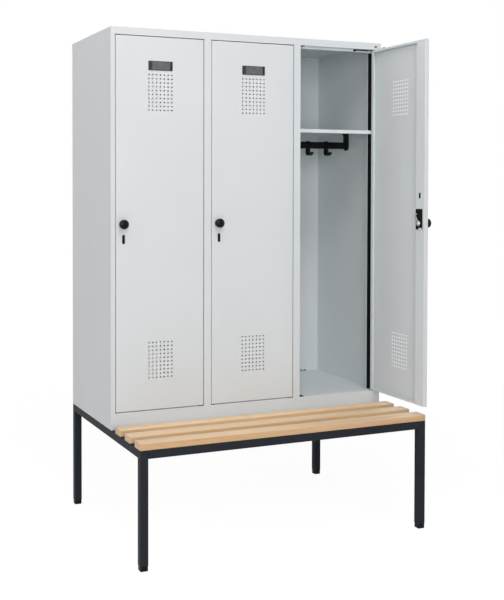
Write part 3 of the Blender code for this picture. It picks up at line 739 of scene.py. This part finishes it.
def dress_door(number, skin_mesh):
    body, lock_body = f"door_{number}", f"door_{number}_lock"
    hinge = hinge_matrix(number)
    skin = bmesh.new()
    skin.from_mesh(skin_mesh)
    door_piece(f"door_{number}_panel", skin, "light_grey_paint", body, hinge)
    dress_channel(number, body, hinge)
    refined(f"door_{number}_latch", "zinc_plate", 0.0004)
    dress_lock(number, body, lock_body, hinge)
    new_piece(
        f"door_{number}_knob_shown",
        knob_shell(),
        "knob_plastic",
        lock_body,
        [f"door_{number}_knob"],
        KNOB_SMOOTH_BELOW,
        hinge @ Matrix.Translation((LOCK_X, DOOR_FACE, LOCK_Z)),
    )
    dress_label(number, body, hinge)


def dress_channel(number, body, hinge):
    """The lock channel with its window, square at the corners, and the clip on the top edge."""
    node = f"door_{number}_lock_channel"
    shell = node_shell(node)
    outline = [
        (KEY_SLOT_X + across, CHANNEL_WINDOW_Z + up)
        for across, up in rounded_outline(0.0063, 0.0107, 0.0012, 3)
    ]
    window = prism_along_y(outline, DOOR_BACK - 2 * SHEET, DOOR_BACK + 0.002)
    bmesh.ops.transform(window, matrix=hinge, verts=window.verts[:])
    shell = boolean_cut(shell, window)
    round_edges(shell, SHEET_EASE)
    new_piece(f"{node}_shown", shell, "light_grey_paint", body, [node])
    door_trim(
        f"door_{number}_top_clip",
        (DOOR_RIGHT - 0.0920, DOOR_BACK - 0.0060, DOOR_HEIGHT + 0.0001),
        (DOOR_RIGHT - 0.0740, DOOR_BACK - 0.0008, DOOR_HEIGHT + 0.0022),
        0.0005,
        "black_plastic",
        body,
        hinge,
    )


def dress_lock(number, body, lock_body, hinge):
    """The lock case with its recessed face, a tab, a stud, a black block that paints the shade
    behind the channel's window, and the latch's screw.
    """
    case_left, case_right = DOOR_LEFT + 0.0123, DOOR_LEFT + 0.0527
    bottom, top = LOCK_Z - 0.0247, LOCK_Z + 0.0557
    near, face = DOOR_FACE + SHEET + 0.0003, DOOR_BACK + 0.0020
    case = rounded_block((case_left, near, bottom), (case_right, face, top), 0.0010, 3)
    recess = rounded_block(
        (case_left + 0.0042, face - 0.0012, bottom + 0.0070),
        (case_right - 0.0042, face + 0.0040, top - 0.0045),
        0.0009,
    )
    case = boolean_cut(case, recess)
    spindle_bore = [(0, -0.011), (0.0046, -0.011), (0.0046, 0.028), (0, 0.028)]
    across_door = Matrix.Rotation(math.radians(-90), 4, "X")
    bore = revolve(spindle_bore, 28, Matrix.Translation((LOCK_X, 0, LOCK_Z)) @ across_door)
    case = boolean_cut(case, bore)
    foot = rounded_block(
        (case_left, near, LOCK_Z - 0.0849),
        (case_right, near + 0.0040, bottom - 0.0002),
        0.0008,
    )
    add_shell(case, foot)
    door_piece(f"door_{number}_lock_case", case, "black_plastic", body, hinge)
    for name, low, high, width, finish in (
        (
            "case_tab",
            (LOCK_X - 0.0135, DOOR_BACK - 0.0009, LOCK_Z - 0.0256),
            (LOCK_X + 0.0065, DOOR_BACK + 0.0024, LOCK_Z - 0.0182),
            0.0005,
            "light_grey_paint",
        ),
        (
            "bolt_stud",
            (case_right - 0.0085, DOOR_BACK + 0.0007, LOCK_Z + 0.0325),
            (case_right + 0.0012, DOOR_BACK + 0.0042, LOCK_Z + 0.0378),
            0.0007,
            "zinc_plate",
        ),
        # A black block behind the channel's window, so that the window looks dark: painted shade
        (
            "rod_guide",
            (KEY_SLOT_X - 0.0095, DOOR_FACE + 0.0014, LOCK_Z + 0.0930),
            (KEY_SLOT_X + 0.0095, DOOR_BACK - 0.0013, LOCK_Z + 0.1230),
            0.0008,
            "black_plastic",
        ),
    ):
        door_trim(f"door_{number}_{name}", low, high, width, finish, body, hinge)
    head = revolve(
        [
            (0, -0.0239),
            (0.0062, -0.0239),
            (0.0066, -0.0243),
            (0.0066, -0.0250),
            (0.0060, -0.0257),
            (0.0045, -0.0262),
            (0.0020, -0.0264),
            (0, -0.0264),
        ],
        32,
    )
    for long, wide in ((0.0040, 0.0006), (0.0006, 0.0040)):
        slot = bmesh.new()
        add_block(slot, (-long, -wide, -0.0270), (long, wide, -0.0254))
        head = boolean_cut(head, slot)
    turned = Matrix.Translation((LOCK_X, 0, LOCK_Z)) @ Matrix.Rotation(math.radians(90), 4, "X")
    new_piece(
        f"door_{number}_latch_screw",
        head,
        "zinc_plate",
        lock_body,
        (),
        DOOR_SMOOTH_BELOW,
        hinge @ turned,
    )


def dress_label(number, body, hinge):
    """The label holder: a moulded tray with a grey card, a rib and a dark end."""
    middle, height = DOOR_MIDDLE, DOOR_HEIGHT - 0.1096
    left, right = middle - 0.050, middle + 0.050
    bottom, top = height - 0.01775, height + 0.01775
    back = DOOR_FACE - 0.0003
    holder = bmesh.new()
    add_block(holder, (left, back - 0.0020, bottom), (right, back, top))
    round_edges(holder, 0.0006)
    tray = bmesh.new()
    add_block(
        tray,
        (left + 0.0158, back - 0.005, bottom + 0.0022),
        (right - 0.0090, back - 0.0009, top - 0.0022),
    )
    holder = boolean_cut(holder, tray)
    door_piece(f"door_{number}_label_holder", holder, "label_plastic", body, hinge)
    for name, low, high, width, segments, finish in (
        (
            "card",
            (left + 0.0162, back - 0.0014, bottom + 0.0026),
            (right - 0.0148, back - 0.0010, top - 0.0026),
            0.00015,
            1,
            "card",
        ),
        (
            "rib",
            (right - 0.0137, back - 0.0017, bottom + 0.0027),
            (right - 0.0093, back - 0.0010, top - 0.0027),
            0.0002,
            2,
            "card",
        ),
        (
            "bar",
            (right - 0.0087, back - 0.0024, bottom + 0.0006),
            (right - 0.0003, back - 0.0021, top - 0.0006),
            0.0001,
            1,
            "label_bar",
        ),
    ):
        piece = f"door_{number}_label_{name}"
        door_trim(piece, low, high, width, finish, body, hinge, segments)


# ---------------------------------------------------------------- small fittings round each opening

# A hinge axis stands this far in from the opening's edge and behind the front face
HINGE_INSET = 0.009
HINGE_BEHIND = 0.004
BUSH_BORE = 0.0031
HINGE_PLUG_Z = 1.9345
CEILING_PLUG_Z = 1.9428


def locker_trim(name, low, high, width, finish, segments=2):
    trim_block(name, low, high, width, finish, "locker", FITTING_SMOOTH_BELOW, PLACE, segments)


def locker_piece(name, shell, finish, matrix=PLACE):
    new_piece(name, shell, finish, "locker", (), FITTING_SMOOTH_BELOW, matrix)


def dress_fittings(number):
    """The small fittings of one opening: buffers, bushes, stay, nib, plugs and floor clips."""
    left = opening_left(number)
    right = left + OPENING_WIDTH
    for label, low, high, reach in (
        ("top", OPENING_TOP - 0.0026, OPENING_TOP - 0.0001, 0.0300),
        ("bottom", OPENING_BOTTOM + 0.0001, OPENING_BOTTOM + 0.0026, 0.0220),
    ):
        locker_trim(
            f"door_{number}_{label}_buffer",
            (left + 0.0003, 0.0010, low),
            (left + 0.0205, 0.0222, high),
            0.0006,
            "black_rubber",
        )
        bush = rounded_block((right - reach, 0.0003, low), (right - 0.0005, 0.0166, high), 0.0006)
        bottom, top = low - 0.002, high + 0.002
        hole = revolve([(0, bottom), (BUSH_BORE, bottom), (BUSH_BORE, top), (0, top)], 24)
        bmesh.ops.translate(hole, vec=(right - HINGE_INSET, HINGE_BEHIND, 0), verts=hole.verts[:])
        bush = boolean_cut(bush, hole)
        locker_piece(f"door_{number}_{label}_bush", bush, "black_plastic")
    under = OPENING_TOP - 0.0002
    for name, low, high, width, segments, finish in (
        (
            "stay",
            (right - 0.0935, 0.0180, under - 0.0046),
            (right - 0.0310, 0.0230, under),
            0.0008,
            2,
            "black_plastic",
        ),
        (
            "stay_end",
            (right - 0.1040, 0.0178, under - 0.0082),
            (right - 0.0940, 0.0231, under),
            0.0016,
            3,
            "black_plastic",
        ),
        (
            "nib",
            (left + 0.0963, 0.0185, under - 0.0042),
            (left + 0.1003, 0.0232, under),
            0.0005,
            2,
            "light_grey_paint",
        ),
    ):
        locker_trim(f"door_{number}_{name}", low, high, width, finish, segments)
    if number == 3:
        plug = prism_along_y(obround_outline(0.0066, 0.0126, (0, 0)), -0.0007, -0.0001)
        place = Matrix.Translation((right - HINGE_INSET, 0, HINGE_PLUG_Z))
        turned = place @ Matrix.Rotation(math.radians(90), 4, "Y")
        locker_piece("hinge_plug", plug, "label_plastic", PLACE @ turned)
    half_outline = [
        (0, CEILING_PLUG_Z),
        (0.0050, CEILING_PLUG_Z),
        (0.0057, CEILING_PLUG_Z + 0.0006),
        (0.0060, CEILING_PLUG_Z + 0.0014),
        (0.0060, CEILING_PLUG_Z + 0.0059),
        (0, CEILING_PLUG_Z + 0.0059),
    ]
    plug = revolve(half_outline, 28, PLACE @ Matrix.Translation((left + 0.2374, 0.385, 0)))
    locker_piece(f"compartment_{number}_plug", plug, "white_plastic", None)
    for label, across in (("left", 0.2970), ("right", 0.3147)):
        middle = left + across
        locker_trim(
            f"compartment_{number}_{label}_clip",
            (middle - 0.0055, 0.4968, OPENING_BOTTOM + 0.0006),
            (middle + 0.0055, 0.4988, OPENING_BOTTOM + 0.0050),
            0.0006,
            "black_plastic",
        )


# ---------------------------------------------------------------- floor, light and camera


def cleared_tree(owner, output_kind):
    """The output node of a material or world whose nodes have been removed."""
    owner.use_nodes = True
    owner.node_tree.nodes.clear()
    return add_node(owner, output_kind)


def make_floor():
    """A floor that the camera sees as nearly white, and wholly white further out."""
    material = bpy.data.materials.new("floor")
    output = cleared_tree(material, "ShaderNodeOutputMaterial")
    diffuse = add_node(material, "ShaderNodeBsdfDiffuse", {"Color": (0.80, 0.80, 0.80, 1)})
    glow = add_node(material, "ShaderNodeEmission", {"Color": (1, 1, 1, 1)})
    path = add_node(material, "ShaderNodeLightPath")
    seen = add_node(material, "ShaderNodeMath", operation="MAXIMUM")
    join(material, path, "Is Camera Ray", seen, 0)
    join(material, path, "Is Glossy Ray", seen, 1)
    place = add_node(material, "ShaderNodeTexCoord")
    away = add_node(material, "ShaderNodeVectorMath", operation="LENGTH")
    join(material, place, "Object", away, 0)

    def by_distance(near, far):
        """A value that goes from near to far between two distances from the locker's middle."""
        reach = add_node(
            material,
            "ShaderNodeMapRange",
            {"From Min": 1.2, "From Max": 3.5, "To Min": near, "To Max": far},
        )
        join(material, away, "Value", reach, "Value")
        return reach

    share = by_distance(0.85, 1.0)
    bright = by_distance(1.11, 1.0)
    factor = add_node(material, "ShaderNodeMath", operation="MULTIPLY")
    mix = add_node(material, "ShaderNodeMixShader")
    join(material, seen, 0, factor, 0)
    join(material, share, "Result", factor, 1)
    join(material, bright, "Result", glow, "Strength")
    join(material, factor, 0, mix, "Fac")
    join(material, diffuse, 0, mix, 1)
    join(material, glow, 0, mix, 2)
    join(material, mix, 0, output, "Surface")
    shell = bmesh.new()
    bmesh.ops.create_grid(shell, x_segments=1, y_segments=1, size=30)
    mesh = bpy.data.meshes.new("floor")
    shell.to_mesh(mesh)
    shell.free()
    mesh.materials.append(material)
    floor = bpy.data.objects.new("floor", mesh)
    floor.location = (0, 0, -0.0005)
    bpy.context.scene.collection.objects.link(floor)


def make_world():
    """White for camera, glossy and transmission rays, and a weak warm fill for the rest."""
    world = bpy.data.worlds.new("studio")
    bpy.context.scene.world = world
    output = cleared_tree(world, "ShaderNodeOutputWorld")
    plain = add_node(
        world, "ShaderNodeBackground", {"Color": (1.0, 0.97, 0.94, 1), "Strength": 0.08}
    )
    white = add_node(world, "ShaderNodeBackground", {"Color": (1, 1, 1, 1), "Strength": 1.0})
    path = add_node(world, "ShaderNodeLightPath")
    first = add_node(world, "ShaderNodeMath", operation="MAXIMUM")
    second = add_node(world, "ShaderNodeMath", operation="MAXIMUM")
    mix = add_node(world, "ShaderNodeMixShader")
    join(world, path, "Is Camera Ray", first, 0)
    join(world, path, "Is Glossy Ray", first, 1)
    join(world, first, 0, second, 0)
    join(world, path, "Is Transmission Ray", second, 1)
    join(world, second, 0, mix, "Fac")
    join(world, plain, 0, mix, 1)
    join(world, white, 0, mix, 2)
    join(world, mix, 0, output, "Surface")


LAMP_COLOUR = (1.0, 0.930, 0.912)
# Name, place, the point it is aimed at, size, power in watts and colour
LAMPS = (
    ("near_camera", (-1.8, -4.6, 1.9), (0, 0, 1.1), (2.5, 2.5), 108, (1.0, 0.945, 0.945)),
    ("front_steep", (-0.6, -2.4, 4.8), (0.2, 0, 0.8), (2.5, 1.6), 76, LAMP_COLOUR),
    ("left", (-4.5, -0.8, 2.6), (0, 0, 1.2), (3.0, 3.0), 20, LAMP_COLOUR),
    ("left_high", (-3.5, -1.0, 4.2), (0, 0, 1.4), (2.5, 2.5), 17, LAMP_COLOUR),
    ("left_back", (-4.0, 1.6, 2.8), (0, 0.3, 1.4), (2.5, 2.5), 33, LAMP_COLOUR),
    # Low, so that it lights the back and the right side but not the tops of the slats
    ("right_back", (3.4, 3.2, 0.21), (0.2, 0.1, 1.1), (2.5, 0.36), 60, LAMP_COLOUR),
    ("front_far", (0.2, -6.5, 3.2), (0, 0, 0.9), (3.5, 2.5), 10, LAMP_COLOUR),
    ("top", (0, -0.8, 4.6), (0, -0.4, 0), (4.0, 4.0), 18, LAMP_COLOUR),
    ("glint", (4.0, -3.4, 1.9), (0, 0, 1.2), (0.4, 0.4), 12, LAMP_COLOUR),
)


def make_lamp(name, place, aim, size, power, colour):
    data = bpy.data.lights.new(name, "AREA")
    data.shape = "RECTANGLE"
    data.size, data.size_y = size
    data.energy = power
    data.color = colour
    lamp = bpy.data.objects.new(name, data)
    lamp.location = place
    lamp.rotation_euler = (Vector(aim) - Vector(place)).to_track_quat("-Z", "Y").to_euler()
    bpy.context.scene.collection.objects.link(lamp)


# The camera that was fitted to the photograph, in its pixels, in radians and in the locker's frame
PICTURE_WIDTH, PICTURE_HEIGHT = 504, 600
FOCAL_PIXELS = 971.9610220705933
VIEW_MIDDLE_X, VIEW_MIDDLE_Y = 159, 210
CAMERA_PLACE = (-1.7888203548668903, -3.4637517822301147, 1.3427257671424034)
CAMERA_PITCH, CAMERA_YAW = -0.02262799425250303, 0.3801178317160202
SENSOR_WIDTH = 36.0


def make_camera():
    data = bpy.data.cameras.new("camera")
    data.sensor_width = SENSOR_WIDTH
    data.sensor_fit = "AUTO"
    data.lens = FOCAL_PIXELS / PICTURE_HEIGHT * SENSOR_WIDTH
    data.shift_x = (PICTURE_WIDTH / 2 - VIEW_MIDDLE_X) / PICTURE_HEIGHT
    data.shift_y = -(PICTURE_HEIGHT / 2 - VIEW_MIDDLE_Y) / PICTURE_HEIGHT
    data.clip_end = 100
    camera = bpy.data.objects.new("camera", data)
    camera.location = PLACE @ Vector(CAMERA_PLACE)
    camera.rotation_euler = (math.radians(90) + CAMERA_PITCH, 0, -CAMERA_YAW)
    bpy.context.scene.collection.objects.link(camera)
    bpy.context.scene.camera = camera


dress_underframe()
dress_bench()
dress_carcass()
door_skin = folded_door_shell()
door_mesh = bpy.data.meshes.new("door_skin")
door_skin.to_mesh(door_mesh)
door_skin.free()
for number in COMPARTMENTS:
    dress_door(number, door_mesh)
bpy.data.meshes.remove(door_mesh)
for number in COMPARTMENTS:
    dress_fittings(number)

make_floor()
make_world()
for lamp in LAMPS:
    make_lamp(*lamp)
make_camera()
bpy.context.scene.view_settings.view_transform = "Standard"

bpy.context.view_layer.update()
